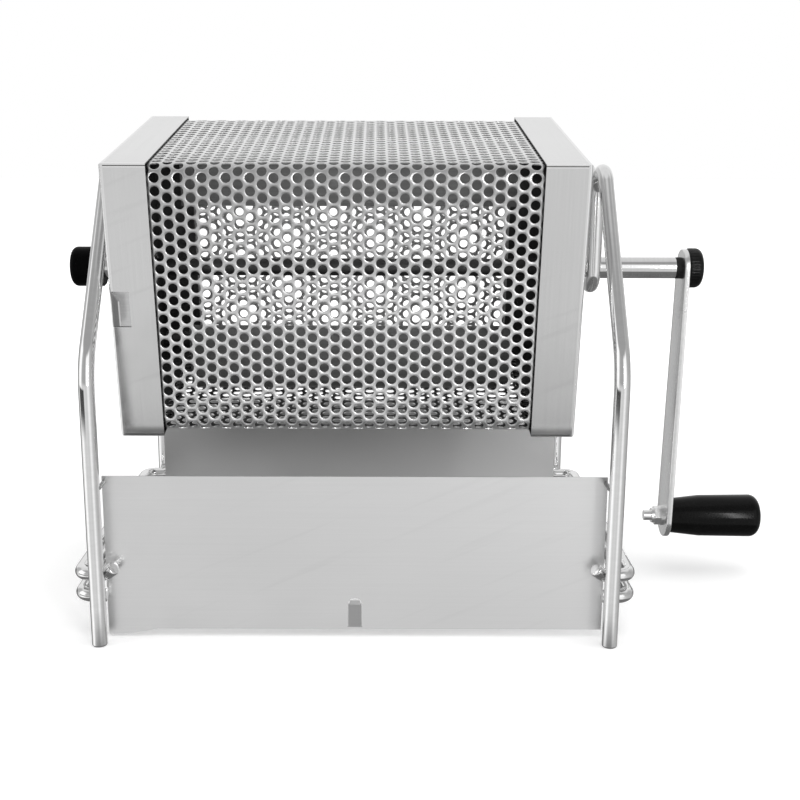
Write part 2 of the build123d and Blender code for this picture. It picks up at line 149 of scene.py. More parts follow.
print("helpers", [f.__name__ for f in (new_group, add_node, calculate, smooth_step, spread_noise)])


# %% Rolled grain: noise drawn out along one direction
grain, start, end = new_group(
    "Rolled grain", [("Vector", None), ("Along", 12.0), ("Across", 900.0), ("Low", 0.4), ("High", 0.6)],
    ["Value", "Height"])
stretch = add_node(grain, "ShaderNodeCombineXYZ")
scaled = add_node(grain, "ShaderNodeVectorMath", operation="MULTIPLY")
noise = add_node(grain, "ShaderNodeTexNoise", Scale=1.0, Detail=3.0, Roughness=0.6)
link = grain.links.new
link(start.outputs["Along"], stretch.inputs["X"])
link(start.outputs["Across"], stretch.inputs["Y"])
link(start.outputs["Across"], stretch.inputs["Z"])
link(start.outputs["Vector"], scaled.inputs[0])
link(stretch.outputs[0], scaled.inputs[1])
link(scaled.outputs[0], noise.inputs["Vector"])
spread_noise(grain, start, end, noise, From_Min=0.3, From_Max=0.7)
print("effect", grain.name)


# %% Handling haze: soft clouds that change how rough a surface is
haze, start, end = new_group(
    "Handling haze", [("Vector", None), ("Size", 18.0), ("Low", 0.2), ("High", 0.4)],
    ["Value", "Height"])
noise = add_node(haze, "ShaderNodeTexNoise", Detail=4.0, Roughness=0.55)
haze.links.new(start.outputs["Vector"], noise.inputs["Vector"])
haze.links.new(start.outputs["Size"], noise.inputs["Scale"])
spread_noise(haze, start, end, noise, interpolation_type="SMOOTHSTEP", From_Min=0.32, From_Max=0.68)
print("effect", haze.name)


# %% Hairlines: the thin marks that wiping leaves
hairlines, start, end = new_group(
    "Hairlines", [("Vector", None), ("Fineness", 260.0), ("Amount", 0.35)], ["Mask"])
turn = add_node(hairlines, "ShaderNodeVectorRotate", rotation_type="EULER_XYZ")
turn.inputs["Rotation"].default_value = (0.5, 0.35, 0.2)
squeeze = add_node(hairlines, "ShaderNodeVectorMath", operation="MULTIPLY")
squeeze.inputs[1].default_value = (0.04, 1.0, 1.0)
noise = add_node(hairlines, "ShaderNodeTexNoise", Detail=2.0, Roughness=0.4)
peak = add_node(hairlines, "ShaderNodeMapRange", From_Min=0.62, From_Max=0.74)
link = hairlines.links.new
link(start.outputs["Vector"], turn.inputs["Vector"])
link(turn.outputs[0], squeeze.inputs[0])
link(squeeze.outputs[0], noise.inputs["Vector"])
link(start.outputs["Fineness"], noise.inputs["Scale"])
link(noise.outputs["Fac"], peak.inputs["Value"])
link(calculate(hairlines, "MULTIPLY", peak.outputs[0], start.outputs["Amount"]), end.inputs["Mask"])
print("effect", hairlines.name)


# %% Sheet waves: the long shallow swells that bend a reflection
waves, start, end = new_group(
    "Sheet waves", [("Vector", None), ("Size", 14.0), ("Height", 0.1)], ["Height"])
noise = add_node(waves, "ShaderNodeTexNoise", Detail=1.0, Roughness=0.3)
link = waves.links.new
link(start.outputs["Vector"], noise.inputs["Vector"])
link(start.outputs["Size"], noise.inputs["Scale"])
link(calculate(waves, "MULTIPLY", noise.outputs["Fac"], start.outputs["Height"]), end.inputs["Height"])
print("effect", waves.name)


# %% Drum box: tells the inside of the drum, and its folded edges, from the rest
# It is turned like the drum, whatever piece of the drum it is used on.
group, start, end = new_group(
    "Drum box", [("Vector", None), ("Half length", 0.1201), ("Half side", 0.0721), ("Fold", 0.0016)],
    ["Inside", "Folds"])
link = group.links.new
centred = add_node(group, "ShaderNodeVectorMath", operation="SUBTRACT")
centred.inputs[1].default_value = (drum_x * MM, 0.0, shaft_z * MM)
level = add_node(group, "ShaderNodeVectorRotate", rotation_type="X_AXIS", Angle=-drum_lean)
plus = add_node(group, "ShaderNodeVectorMath", operation="ABSOLUTE")
apart = add_node(group, "ShaderNodeSeparateXYZ")
link(start.outputs["Vector"], centred.inputs[0])
link(centred.outputs[0], level.inputs["Vector"])
link(level.outputs[0], plus.inputs[0])
link(plus.outputs[0], apart.inputs[0])
x, y, z = apart.outputs
length = start.outputs["Half length"]
side = start.outputs["Half side"]
fold = start.outputs["Fold"]
widest = calculate(group, "MAXIMUM", y, z)
inside = calculate(
    group, "MULTIPLY", calculate(group, "LESS_THAN", x, length),
    calculate(group, "LESS_THAN", widest, side))
near = [calculate(group, "GREATER_THAN", calculate(group, "ADD", value, fold), limit)
        for value, limit in ((x, length), (y, side), (z, side))]
count = calculate(group, "ADD", calculate(group, "ADD", near[0], near[1]), near[2])
link(inside, end.inputs["Inside"])
link(calculate(group, "GREATER_THAN", count, 1.5), end.inputs["Folds"])
drum_box = group
print("effect", drum_box.name)


# %% Seam and top shade: a painted shadow line beside the caps, and painted shade high up on the drum
# Sizes are in metres. Seam is how far from the drum's middle its sheet meets a cap.
line_starts = (-0.0004, 0.0004)
line_ends = (0.0018, 0.0022)
top_shade_starts = (0.16, 0.235)
top_shade_ends = (0.2415, 0.250)
group, start, end = new_group(
    "Seam and top shade", [("Vector", None), ("Seam", 0.0966), ("Film amount", 0.4)], ["Line", "Top shade"])
apart = add_node(group, "ShaderNodeSeparateXYZ")
group.links.new(start.outputs["Vector"], apart.inputs[0])
x, _, z = apart.outputs
along = calculate(group, "ABSOLUTE", calculate(group, "SUBTRACT", x, drum_x * MM))
past_seam = calculate(group, "SUBTRACT", along, start.outputs["Seam"])
for label, value, starts, ends, amount in (
        ("Line", past_seam, line_starts, line_ends, 1.0),
        ("Top shade", z, top_shade_starts, top_shade_ends, start.outputs["Film amount"])):
    rising = smooth_step(group, value, *starts)
    falling = smooth_step(group, value, *ends)
    mask = calculate(group, "MULTIPLY", calculate(group, "SUBTRACT", rising, falling), amount)
    group.links.new(mask, end.inputs[label])
seam_and_top_shade = group
print("effect", seam_and_top_shade.name)

# %% [markdown]
# ## The metals
# Every metal here is one recipe with its own numbers: a grey, a roughness that
# drifts with the haze, a grain and hairlines in the colour, and a bump made of
# grain and waves, whose heights are in millimetres. Painted shade is added too: it
# darkens what lies inside the drum, lays a dark line on the drum's sheet beside
# the caps, dims the sheet high up, and darkens the inner sides of the shields,
# while a painted highlight lightens the drum's folded edges. The sheet's inner skin
# has colours of its own: dark as painted shade round the drum, and pale as painted
# light in the door, where light falls on it through the holes. The Principled
# shader stays in the material itself, and only its changing sockets are linked.


# %% Small steps of a material
def use_group(tree, group, vector, **values):
    """Places an effect in a material, with its own values."""
    node = add_node(tree, "ShaderNodeGroup", node_tree=group)
    tree.links.new(vector, node.inputs["Vector"])
    for key, value in values.items():
        node.inputs[key.replace("_", " ")].default_value = value
    return node


def start_material(name):
    """An empty material with its Principled shader and the piece's own coordinates."""
    material = bpy.data.materials.new(name)
    material.use_nodes = True
    tree = material.node_tree
    where = add_node(tree, "ShaderNodeTexCoord").outputs["Object"]
    return material, tree, tree.nodes["Principled BSDF"], where


def grey(level):
    return (level, level, level, 1.0)


def blend_colours(tree, factor, first, second):
    """Mixes two colours. Each is a grey level or another node's output."""
    mix = add_node(tree, "ShaderNodeMix", data_type="RGBA")
    for socket, value in ((mix.inputs[6], first), (mix.inputs[7], second)):
        if isinstance(value, float):
            socket.default_value = grey(value)
        else:
            tree.links.new(value, socket)
    tree.links.new(factor, mix.inputs[0])
    return mix.outputs[2]


def blend_values(tree, factor, first, second):
    """first + factor x (second - first)."""
    change = calculate(tree, "SUBTRACT", second, first)
    return calculate(tree, "MULTIPLY_ADD", factor, change, first)


def feed_shader(tree, shader, colour, roughness, height):
    """Links what changes over the surface. height is in millimetres."""
    relief = add_node(tree, "ShaderNodeBump", Strength=1.0, Distance=MM)
    tree.links.new(height, relief.inputs["Height"])
    tree.links.new(relief.outputs[0], shader.inputs["Normal"])
    tree.links.new(colour, shader.inputs["Base Color"])
    tree.links.new(roughness, shader.inputs["Roughness"])


print("a middle grey is", grey(0.5))


# %% One recipe for every metal
# Painted shade inside the drum.
inside_shade_greys = (0.09, 0.17)
inside_shade_roughness = 0.5
# A painted shadow line beside the caps.
seam_shade_grey = 0.07
# Painted shade high up on the drum.
top_shade_grey = 0.20
# Painted shade on the shields' inner sides, darker towards the left.
inner_shade_greys = (0.43, 0.58)
inner_shade_from_to = (-0.06, 0.08)


def metal(name, dark, light, smooth, rough, along=12.0, across=900.0, grain_mm=0.003, wave_mm=0.0, marks=0.2,
          shaded_within=None, seam=None, inner_shade_depth=None):
    """Grained metal. The last three are distances in metres, for painted shade. The first darkens what is
    less than that from the drum's middle lines, and lightens its folds as a painted highlight. The second
    is where the drum's sheet meets a cap: a painted shadow line lies there, and painted shade high up
    on the drum. The third darkens, as painted shade, what is less than that in front of the stand's
    middle or behind it."""
    material, tree, shader, where = start_material(name)
    lines = use_group(tree, grain, where, Along=along, Across=across, Low=0.0, High=1.0)
    cloud = use_group(tree, haze, where, Size=16.0, Low=smooth, High=rough)
    wiped = use_group(tree, hairlines, where, Fineness=260.0, Amount=marks)
    wiped_grey = light * 0.88
    # Painted highlight for the drum's folded edges.
    fold_highlight = min(1.0, light * 1.12)
    colour = blend_colours(tree, lines.outputs["Value"], dark, light)
    colour = blend_colours(tree, wiped.outputs["Mask"], colour, wiped_grey)
    roughness = calculate(tree, "MULTIPLY_ADD", wiped.outputs["Mask"], 0.10, cloud.outputs["Value"])
    if shaded_within:
        # Painted shade darkens what lies inside the drum.
        box = use_group(tree, drum_box, where, Half_side=shaded_within)
        shade_cloud = use_group(tree, haze, where, Size=30.0, Low=0.0, High=1.0)
        inside_shade = blend_colours(tree, shade_cloud.outputs["Value"], *inside_shade_greys)
        # Painted highlight on the drum's folded edges.
        colour = blend_colours(tree, box.outputs["Folds"], colour, fold_highlight)
        colour = blend_colours(tree, box.outputs["Inside"], colour, inside_shade)
        roughness = blend_values(tree, box.outputs["Inside"], roughness, inside_shade_roughness)
    if seam:
        # A painted shadow line beside the caps, and painted shade high up on the drum's sheet.
        seam_shade = use_group(tree, seam_and_top_shade, where, Seam=seam, Film_amount=0.4)
        colour = blend_colours(tree, seam_shade.outputs["Line"], colour, seam_shade_grey)
        # Painted shade high up on the drum's sheet.
        colour = blend_colours(tree, seam_shade.outputs["Top shade"], colour, top_shade_grey)
    if inner_shade_depth:
        # Painted shade on the shields' inner sides, darker towards the left.
        apart = add_node(tree, "ShaderNodeSeparateXYZ")
        tree.links.new(where, apart.inputs[0])
        x, y, _ = apart.outputs
        inner_side = calculate(tree, "LESS_THAN", calculate(tree, "ABSOLUTE", y), inner_shade_depth)
        inner_shade = blend_colours(tree, smooth_step(tree, x, *inner_shade_from_to), *inner_shade_greys)
        colour = blend_colours(tree, inner_side, colour, inner_shade)
    swell = use_group(tree, waves, where, Size=14.0, Height=wave_mm)
    height = calculate(tree, "MULTIPLY_ADD", lines.outputs["Height"], grain_mm, swell.outputs["Height"])
    feed_shader(tree, shader, colour, roughness, height)
    shader.inputs["Metallic"].default_value = 1.0
    return material


print("painted shade: soot", inside_shade_greys, "seam_shade", seam_shade_grey, "top_shade", top_shade_grey, "inner_shade", inner_shade_greys)

# %% The metals of the stand and the crank
# How far the painted shade reaches on the shields' inner sides.
shield_inside = 0.0885
shield_steel = metal(
    "shield_steel", 0.82, 0.84, 0.29, 0.36, grain_mm=0.002, wave_mm=0.06, inner_shade_depth=shield_inside)
polished_wire = metal(
    "polished_wire", 0.78, 0.82, 0.05, 0.09, along=60.0, across=300.0, grain_mm=0.0006, marks=0.15)
crank_steel = metal(
    "crank_steel", 0.76, 0.82, 0.18, 0.26, along=500.0, across=500.0, grain_mm=0.003, wave_mm=0.05)
print("metals of the stand", [m.name for m in (shield_steel, polished_wire, crank_steel)])

# %% The metals of the drum
# How far the painted shade reaches inside the drum, and where the painted shadow line beside the caps lies.
cap_inside = 0.0721
fixings_inside = 0.0701
cap_seam = 0.0966
cap_steel = metal(
    "cap_steel", 0.73, 0.76, 0.15, 0.22, along=900.0, across=14.0, grain_mm=0.002, wave_mm=0.10,
    shaded_within=cap_inside)
perforated_steel = metal(
    "perforated_steel", 0.80, 0.90, 0.30, 0.38, grain_mm=0.003, wave_mm=0.05, seam=cap_seam)
# The paler grey on the rims and walls of the holes is painted light.
punched_edge = metal(
    "punched_edge", 0.88, 0.96, 0.34, 0.44, along=600.0, across=600.0, grain_mm=0.004, seam=cap_seam)
# The drum sheet's inner skin is dark as painted shade.
painted_shade_skin = metal("painted_shade_skin", 0.12, 0.20, 0.42, 0.60, along=300.0, across=300.0, grain_mm=0.004)
# The door's inner skin is pale as painted light, where light falls on it through the holes.
door_inside = metal("door_inside", 0.80, 0.92, 0.50, 0.65, along=300.0, across=300.0, grain_mm=0.004)
# A dark grey, as painted shade on the vanes inside the drum and on the shield studs.
vane_steel = metal("vane_steel", 0.28, 0.38, 0.40, 0.55, along=12.0, across=500.0, grain_mm=0.004)
shaft_steel = metal(
    "shaft_steel", 0.70, 0.75, 0.09, 0.14, along=900.0, across=40.0, grain_mm=0.001, shaded_within=cap_inside)
bright_fixings = metal(
    "bright_fixings", 0.68, 0.75, 0.14, 0.24, along=400.0, across=400.0, grain_mm=0.003,
    shaded_within=fixings_inside)
print("metals of the drum", [m.name for m in (cap_steel, perforated_steel, punched_edge, shaft_steel)])

# %% [markdown]
# ## The black plastics
# The knobs and the grip are moulded plastic with a gloss, and the washer is dull
# fibre. Moulded plastic shows a faint orange peel in its highlights, so the bump
# is low, and dust and fingers make the gloss uneven. The left knob mirrors less
# than the right one, so it gets a duller black.


# %% One recipe for the plastics
def plastic(name, dark, light, smooth, rough, peel_mm, shine):
    """Moulded black. peel_mm is the height of its orange peel, shine its level of mirroring."""
    material, tree, shader, where = start_material(name)
    cloud = use_group(tree, haze, where, Size=60.0, Low=smooth, High=rough)
    fine = use_group(tree, grain, where, Along=700.0, Across=700.0, Low=0.0, High=1.0)
    wiped = use_group(tree, hairlines, where, Fineness=420.0, Amount=0.4)
    colour = blend_colours(tree, fine.outputs["Value"], dark, light)
    colour = blend_colours(tree, wiped.outputs["Mask"], colour, light * 2.0)
    height = calculate(tree, "MULTIPLY", fine.outputs["Height"], peel_mm)
    feed_shader(tree, shader, colour, cloud.outputs["Value"], height)
    shader.inputs["Specular IOR Level"].default_value = shine
    return material


grip_black = plastic("grip_black", 0.002, 0.004, 0.13, 0.19, 0.003, 0.12)
knob_black = plastic("knob_black", 0.002, 0.004, 0.20, 0.30, 0.004, 0.18)
worn_black = plastic("worn_black", 0.001, 0.002, 0.34, 0.46, 0.004, 0.03)
washer_black = plastic("washer_black", 0.008, 0.014, 0.55, 0.70, 0.010, 0.30)
print("plastics", grip_black.name, knob_black.name, worn_black.name, washer_black.name)

# %% [markdown]
# ## From loose points to a finished piece
# A piece ends up as a mesh object that is smooth shaded, with sharp edges kept
# where two faces meet at more than 28 degrees. It rides on its CAD body, and the
# CAD nodes that it stands for are hidden.


# %% Finish a mesh as a piece
sharp_from = math.radians(28)


def into_scene(name, data):
    """An object for a mesh, a lamp or a camera, placed in the scene."""
    thing = bpy.data.objects.new(name, data)
    bpy.context.scene.collection.objects.link(thing)
    return thing


def finish_mesh(name, mesh, body, materials, stands_for=()):
    """Shades a mesh, ties it to its body and hides the CAD nodes it stands for."""
    mesh.shade_smooth()
    mesh.set_sharp_from_angle(angle=sharp_from)
    for material in materials:
        mesh.materials.append(material)
    piece = into_scene(name, mesh)
    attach(piece, body)
    if stands_for:
        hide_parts(*stands_for)
    return piece


def finish_bmesh(name, bm, body, material, stands_for=(), move=None):
    """Turns a bmesh in millimetres into a piece in metres."""
    bmesh.ops.recalc_face_normals(bm, faces=bm.faces)
    bmesh.ops.scale(bm, vec=(MM, MM, MM), verts=bm.verts)
    if move is not None:
        bmesh.ops.transform(bm, matrix=move, verts=bm.verts)
    mesh = bpy.data.meshes.new(name)
    bm.to_mesh(mesh)
    bm.free()
    return finish_mesh(name, mesh, body, [material], stands_for)


print("edges are sharp from", round(math.degrees(sharp_from)), "degrees")


# %% [markdown]
# ## Bent wire
# The stand is bent from round wire. A bend is an arc that touches both straight
# runs, so the path is made from corners and radii, as a wire bender reads it.
# A ring of points is then carried along the path without twisting.


# %% A path with rounded corners
def bent_path(corners, radii, step=3.0):
    """Points along straight runs that are joined by arcs."""
    corners = [Vector(c) for c in corners]
    points = [corners[0]]
    for before, corner, after, radius in zip(corners, corners[1:], corners[2:], radii):
        coming = (corner - before).normalized()
        going = (after - corner).normalized()
        turn = coming.angle(going)
        start = corner - coming * radius * math.tan(turn / 2)
        centre = corner + (going - coming).normalized() * radius / math.cos(turn / 2)
        axis = coming.cross(going).normalized()
        count = math.ceil(math.degrees(turn) / step)
        for k in range(count + 1):
            swing = Matrix.Rotation(turn * k / count, 3, axis)
            points.append(centre + swing @ (start - centre))
    points.append(corners[-1])
    clean = [points[0]]
    for point in points[1:]:
        if (point - clean[-1]).length > 1e-4:
            clean.append(point)
    return clean


print("points along one right angle:", len(bent_path([(0, 0, 0), (50, 0, 0), (50, 50, 0)], [8.0])))


# %% A round wire along a path, with its ends rounded off
def ring_of(bm, centre, side, up, radius, sides):
    """Points round a circle that lies across the wire."""
    angles = [2 * math.pi * k / sides for k in range(sides)]
    return [bm.verts.new(centre + (side * math.cos(a) + up * math.sin(a)) * radius) for a in angles]


def skin(bm, rings):
    """Faces from each ring to the next, and one across each end."""
    count = len(rings[0])
    for first, second in zip(rings, rings[1:]):
        for k in range(count):
            n = (k + 1) % count
            bm.faces.new((first[k], first[n], second[n], second[k]))
    bm.faces.new(rings[0])
    bm.faces.new(rings[-1])
    return bm


def wire_mesh(path, radius, tip, sides=48, tip_steps=4):
    """Wire along a path, as a bmesh in millimetres. tip is the rounding of its ends."""
    bm = bmesh.new()
    ways = [(b - a).normalized() for a, b in zip(path, path[1:])]
    heads = [ways[0]] + [(a + b).normalized() for a, b in zip(ways, ways[1:])] + [ways[-1]]
    side = heads[0].orthogonal().normalized()
    last = heads[0]
    rings = []
    for index, (point, head) in enumerate(zip(path, heads)):
        side = (last.rotation_difference(head) @ side).normalized()
        last = head
        up = head.cross(side)
        inward = {0: 1, len(path) - 1: -1}.get(index)
        if inward is None:
            rings.append(ring_of(bm, point, side, up, radius, sides))
            continue
        rounding = []
        for k in range(tip_steps + 1):
            angle = math.pi / 2 * k / tip_steps
            centre = point + head * inward * tip * (1 - math.cos(angle))
            rounding.append(ring_of(bm, centre, side, up, radius - tip + tip * math.sin(angle), sides))
        rings += rounding if inward > 0 else rounding[::-1]
    return skin(bm, rings)


sample = wire_mesh([Vector((0, 0, 0)), Vector((50, 0, 0))], 4.0, 1.0)
print("faces of a straight wire:", len(sample.faces))
sample.free()


# %% [markdown]
# ## The two side frames
# Each is one length of 8 mm wire. It goes up from the front foot, leans in to a
# shoulder beside the shaft, and drops into the cradle that the shaft lies in. The
# rear half is the same the other way round.

# %% Bend the side frames
wire_r = 4.0
wire_tip = 1.0
frame_half = 132.0
leg_half = 100.0
leg_straight = 146.6
leg_bend = 40.0
shoulder_bend = 14.0
shoulder_slope = math.radians(53.3)
cradle_r = 10.05
shoulder_z = leg_straight + (leg_half - cradle_r) * math.tan(shoulder_slope)
cradle_low = shaft_z - cradle_r


def frame_path(x):
    """Corners of the front half, then the same for the rear half."""
    half = [(-leg_half, 0), (-leg_half, leg_straight), (-cradle_r, shoulder_z), (-cradle_r, cradle_low)]
    outline = half + [(-y, z) for y, z in reversed(half)]
    radii = [leg_bend, shoulder_bend, cradle_r, cradle_r, shoulder_bend, leg_bend]
    return bent_path([(x, y, z) for y, z in outline], radii)


for name, side in (("left", -1), ("right", 1)):
    bm = wire_mesh(frame_path(side * frame_half), wire_r, wire_tip)
    frame_piece = finish_bmesh(
        name + "_wire_frame", bm, "stand", polished_wire, [name + "_frame"], on_stand)
    print(frame_piece.name, "faces", len(frame_piece.data.polygons))

# %% [markdown]
# ## The rails between the legs
# Two thinner wires join the front and rear legs on each side. The upper one is
# hooked round in front of the shield, and the lower one ends behind the leg. A
# rail's rear half mirrors its front half, so only the front is written down.

# %% Bend the rails
rail_r = 3.5
rail_tip = 1.2
rail_y = leg_half - wire_r - rail_r
rail_x = 142.8
rail_bend = 7.0
upper_rail_z = 36.0
lower_rail_z = 24.5
upper_front = [(123.5, -(rail_y + 4.0), 5.0), (129.0, -rail_y, 0), (rail_x, -rail_y, 0)]
lower_front = [(128.5, -rail_y, 0), (rail_x, -rail_y, 0)]


def rail_path(front, side):
    """Corners of the front half, then their mirror image at the rear."""
    corners = [(x * side, y, z) for x, y, z in front]
    corners += [(x, -y, z) for x, y, z in reversed(corners)]
    return bent_path(corners, [rail_bend] * (len(corners) - 2))


for name, side in (("left", -1), ("right", 1)):
    for word, front, z in (("upper", upper_front, upper_rail_z), ("lower", lower_front, lower_rail_z)):
        bm = wire_mesh(rail_path(front, side), rail_r, rail_tip)
        rail = finish_bmesh(
            f"{name}_{word}_wire_rail", bm, "stand", polished_wire,
            [f"{name}_{word}_rail"], on_stand @ place(0, 0, z))
        print(rail.name, "faces", len(rail.data.polygons))

# %% [markdown]
# ## Sheet with round holes
# The drum is perforated sheet: 5 mm holes in staggered columns. Round each hole
# lies a six sided cell, and the cells tile the sheet like a honeycomb. So the
# sheet is made cell by cell in the flat, and only then gets its thickness and
# its bends. Cutting nearly 3000 holes with booleans would be slower and leave
# worse edges. A punch rounds the rim where it enters, and that rim catches the
# light, so every hole has a narrow dished ring. Cells without a hole make the
# plain parts.

# %% Border of one cell
hole_r = 2.5
rim_r = 2.95
rim_depth = 0.22
sheet_thick = 0.8
parts_per_side = 3


def cell_border(pitch, step):
    """Points round one cell. pitch is from row to row, step from column to column."""
    corners = [(2 * step / 3, 0), (step / 3, pitch / 2), (-step / 3, pitch / 2)]
    corners += [(-x, -y) for x, y in corners]
    border = []
    for (x0, y0), (x1, y1) in zip(corners, corners[1:] + corners[:1]):
        for part in range(parts_per_side):
            share = part / parts_per_side
            border.append((x0 + (x1 - x0) * share, y0 + (y1 - y0) * share))
    return np.array(border)


print("points round one cell:", len(cell_border(6.6, 5.9)))


# %% Cells of the flat sheet
def flat_cells(x_span, s_span, margin, first_hole, pitch, step, keep_hole):
    """Points and faces of a sheet in the flat, x along it and s up it.
    Each point is followed by the middle of its hole, or by nan if it is on none."""
    border = cell_border(pitch, step)
    count = len(border)
    turn = np.arange(count) * 2 * math.pi / count
    circle = np.stack([np.cos(turn), np.sin(turn)], 1) * rim_r
    low = np.array([x_span[0], s_span[0]])
    high = np.array([x_span[1], s_span[1]])
    points, faces, start, holes = [], [], 0, 0
    first = math.floor((low[0] - first_hole[0]) / step) - 1
    last = math.ceil((high[0] - first_hole[0]) / step) + 1
    for column in range(first, last + 1):
        offset = first_hole[1] + (column % 2) * pitch / 2
        lowest = math.floor((low[1] - offset) / pitch) - 1
        highest = math.ceil((high[1] - offset) / pitch) + 1
        for row in range(lowest, highest + 1):
            centre = np.array([first_hole[0] + column * step, offset + row * pitch])
            outer = np.clip(centre + border, low, high)
            if min(np.ptp(outer, axis=0)) < 1e-6:
                continue
            points.append(np.hstack([outer, np.full((count, 2), np.nan)]))
            clear = np.all(centre - rim_r > low + margin) and np.all(centre + rim_r < high - margin)
            if clear and keep_hole(*centre):
                holes += 1
                points.append(np.hstack([centre + circle, np.tile(centre, (count, 1))]))
                for k in range(count):
                    n = (k + 1) % count
                    faces.append((start + k, start + n, start + count + n, start + count + k))
                start += 2 * count
            else:
                points.append(np.hstack([outer.mean(0), np.nan, np.nan])[None])
                for k in range(count):
                    faces.append((start + k, start + (k + 1) % count, start + count))
                start += count + 1
    return np.vstack(points), faces, holes


sample = flat_cells((0, 40), (0, 40), 0.0, (5.0, 5.0), 6.6, 5.9, lambda x, s: True)
print("holes in a sample of 40 by 40 mm:", sample[2])


# %% Merge the cells
off_the_half = 0.00037
least_double_area = 2e-4


def merge_cells(points, faces):
    """Shared corners become one, and faces squashed flat at the margin go. Corners are matched to
    the micrometre, and a small shift keeps them from lying just where rounding tips over."""
    keys, first, index = np.unique(
        np.round(points[:, :2] + off_the_half, 3), axis=0, return_index=True, return_inverse=True)
    index = index.reshape(-1)
    merged = []
    for face in faces:
        ring = []
        for corner in face:
            if index[corner] not in ring:
                ring.append(int(index[corner]))
        if len(ring) < 3:
            continue
        x, s = keys[ring].T
        if abs(np.dot(x, np.roll(s, -1)) - np.dot(s, np.roll(x, -1))) > least_double_area:
            merged.append(tuple(ring))
    return points[first], merged


sample_points, sample_faces = merge_cells(*sample[:2])
print("points of the sample before and after:", len(sample[0]), len(sample_points))


# %% Give the sheet its thickness
def thick_sheet(points, faces, wrap):
    """Outer skin, dished rims, hole walls, inner skin and border walls.
    Returns vertices, faces and the material number of each face."""
    count = len(points)
    flat, middles = points[:, :2], points[:, 2:]
    on_hole = ~np.isnan(middles[:, 0])
    narrow = np.where(on_hole[:, None], middles + (flat - middles) * hole_r / rim_r, flat)
    verts = [wrap(x, s, 0.0) for x, s in flat]
    verts += [wrap(x, s, rim_depth) for x, s in narrow]
    verts += [wrap(x, s, sheet_thick) for x, s in narrow]
    edges = {(a, b) for face in faces for a, b in zip(face, face[1:] + face[:1])}
    rims, walls, border = [], [], []
    for a, b in edges:
        if (b, a) in edges:
            continue
        if on_hole[a] and on_hole[b]:
            rims.append((b, a, a + count, b + count))
            walls.append((b + count, a + count, a + 2 * count, b + 2 * count))
        else:
            border.append((b, a, a + 2 * count, b + 2 * count))
    inner = [tuple(v + 2 * count for v in reversed(face)) for face in faces]
    numbers = [0] * (len(faces) + len(border)) + [1] * (len(rims) + len(walls)) + [2] * len(inner)
    return verts, faces + border + rims + walls + inner, numbers


thick = thick_sheet(sample_points, sample_faces, lambda x, s, depth: (x, s, depth))
print("faces of the sample, flat and thick:", len(sample_faces), len(thick[1]))


# %% Make a piece of it
def sheet_piece(name, body, cells, wrap, inside, stands_for):
    """A finished perforated piece from its flat cells. inside is the finish of its inner skin."""
    points, faces, holes = cells
    verts, faces, numbers = thick_sheet(*merge_cells(points, faces), wrap)
    places = np.array(verts) * MM @ np.array(in_drum.to_3x3()).T + np.array(in_drum.translation)
    mesh = bpy.data.meshes.new(name)
    mesh.from_pydata(places.tolist(), [], faces)
    mesh.polygons.foreach_set("material_index", numbers)
    bm = bmesh.new()
    bm.from_mesh(mesh)
    bmesh.ops.delete(bm, geom=[v for v in bm.verts if not v.link_faces], context="VERTS")
    bm.to_mesh(mesh)
    bm.free()
    print(name, "holes", holes, "faces", len(mesh.polygons))
    finishes = [perforated_steel, punched_edge, inside]
    return finish_mesh(name, mesh, body, finishes, stands_for)


print("finishes outside and at the holes:", perforated_steel.name, punched_edge.name)

# %% [markdown]
# ## The drum's wrapped sheet
# One sheet runs from the rear lower edge, under the drum, up the front, over the
# top and a little way down the rear, where it is plain and carries the hinges.
# Its profile is flats joined by 8 mm bends. A point is named by how far it lies
# from the middle of the front, measured along the sheet.

# %% Profile of the wrapped sheet
sheet_out = 71.5
bend_r = 8.0
strip_width = 16.0
flat_half = sheet_out - bend_r
bend_length = (bend_r - sheet_thick / 2) * math.pi / 2
side_length = 2 * flat_half + bend_length
sleeve_low = -(flat_half + side_length + bend_length)
sleeve_high = -sleeve_low + strip_width
cap_inner = 119.7


def around_drum(x, s, depth):
    """Place in the drum of a point x along it, s up the sheet and depth in from its face."""
    sides = math.floor((s + side_length / 2) / side_length)
    local = s - sides * side_length
    if abs(local) <= flat_half:
        y, z = -(sheet_out - depth), local
    else:
        angle = (abs(local) - flat_half) / bend_length * math.pi / 2
        reach = bend_r - depth
        y = -(flat_half + reach * math.cos(angle))
        z = math.copysign(flat_half + reach * math.sin(angle), local)
    turn = -sides * math.pi / 2
    return (x, y * math.cos(turn) - z * math.sin(turn), y * math.sin(turn) + z * math.cos(turn))


print("the sheet in the flat:", round(2 * cap_inner, 1), "by", round(sleeve_high - sleeve_low, 1), "mm")

# %% Wrap the sheet round the drum
sleeve_margin = 0.8
sleeve_first = (5.59, 2.38)
sleeve_pitch = 6.618
sleeve_step = 5.861
last_hole_x = 103
last_hole_s = -sleeve_low - 2


def sleeve_hole(x, s):
    """The sheet is plain under the caps and on the strip that carries the hinges."""
    return abs(x) < last_hole_x and s < last_hole_s


sleeve_cells = flat_cells(
    (-cap_inner, cap_inner), (sleeve_low, sleeve_high), sleeve_margin, sleeve_first, sleeve_pitch,
    sleeve_step, sleeve_hole)
sheet_piece(
    "perforated_sleeve", "drum", sleeve_cells, around_drum, painted_shade_skin,
    ["front_sheet", "top_sheet", "bottom_sheet", "front_top_edge", "front_bottom_edge",
     "rear_bottom_edge", "rear_top_edge"])

# %% [markdown]
# ## The door
# The rear side of the drum is a flat door of the same sheet. It hangs on two
# hinges under the plain strip, and closes against the sides of the drum. It needs
# no bends, so the same cells are laid straight in its plane.

